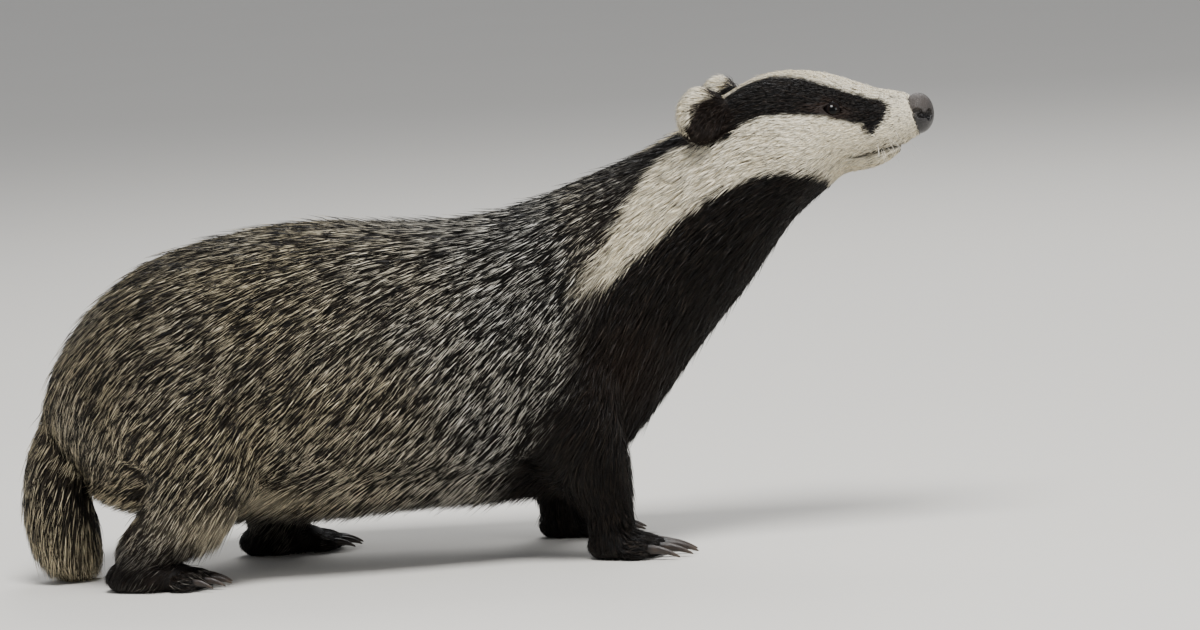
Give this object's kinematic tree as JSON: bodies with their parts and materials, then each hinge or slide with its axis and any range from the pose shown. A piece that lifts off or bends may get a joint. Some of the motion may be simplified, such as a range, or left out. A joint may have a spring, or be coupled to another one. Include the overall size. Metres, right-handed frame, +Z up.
{
  "type": "european badger model",
  "caption": "Life-size still model of a European badger standing low on four feet, neck stretched up and forward, coat of long grizzled hair.",
  "frame": {"origin": "on the floor, under the middle of the box round the animal", "axes": "+X runs forward to the nose, +Y to the animal's left, +Z up; the floor is z = 0"},
  "size_m": [0.7048, 0.2274, 0.3549],
  "materials": {
    "grizzled_coat": "long grizzled hair, dark with cream tips",
    "striped_coat": "black and white hair in stripes",
    "black_coat": "short black-brown hair",
    "tail_coat": "long buff hair over brown",
    "nose_skin": "moist pebbled dark skin",
    "eye_dark": "glossy dark brown",
    "horn": "smooth horn, lighter along the ridge"
  },
  "bodies": {
    "root": {"torso": "grizzled_coat", "neck": "striped_coat", "head": "striped_coat", "foreleg_left": "black_coat", "foreleg_right": "black_coat", "hindleg_left": "black_coat", "hindleg_right": "black_coat", "ear_left": "black_coat", "ear_right": "black_coat", "forefoot_left": "black_coat", "forefoot_right": "black_coat", "hindfoot_left": "black_coat", "hindfoot_right": "black_coat", "tail": "tail_coat", "nose_pad": "nose_skin", "eye_left": "eye_dark", "eye_right": "eye_dark", "forefoot_left_claw_1": "horn", "forefoot_left_claw_2": "horn", "forefoot_left_claw_3": "horn", "forefoot_left_claw_4": "horn", "forefoot_left_claw_5": "horn", "forefoot_right_claw_1": "horn", "forefoot_right_claw_2": "horn", "forefoot_right_claw_3": "horn", "forefoot_right_claw_4": "horn", "forefoot_right_claw_5": "horn", "hindfoot_left_claw_1": "horn", "hindfoot_left_claw_2": "horn", "hindfoot_left_claw_3": "horn", "hindfoot_left_claw_4": "horn", "hindfoot_left_claw_5": "horn", "hindfoot_right_claw_1": "horn", "hindfoot_right_claw_2": "horn", "hindfoot_right_claw_3": "horn", "hindfoot_right_claw_4": "horn", "hindfoot_right_claw_5": "horn"}
  },
  "joints": []
}
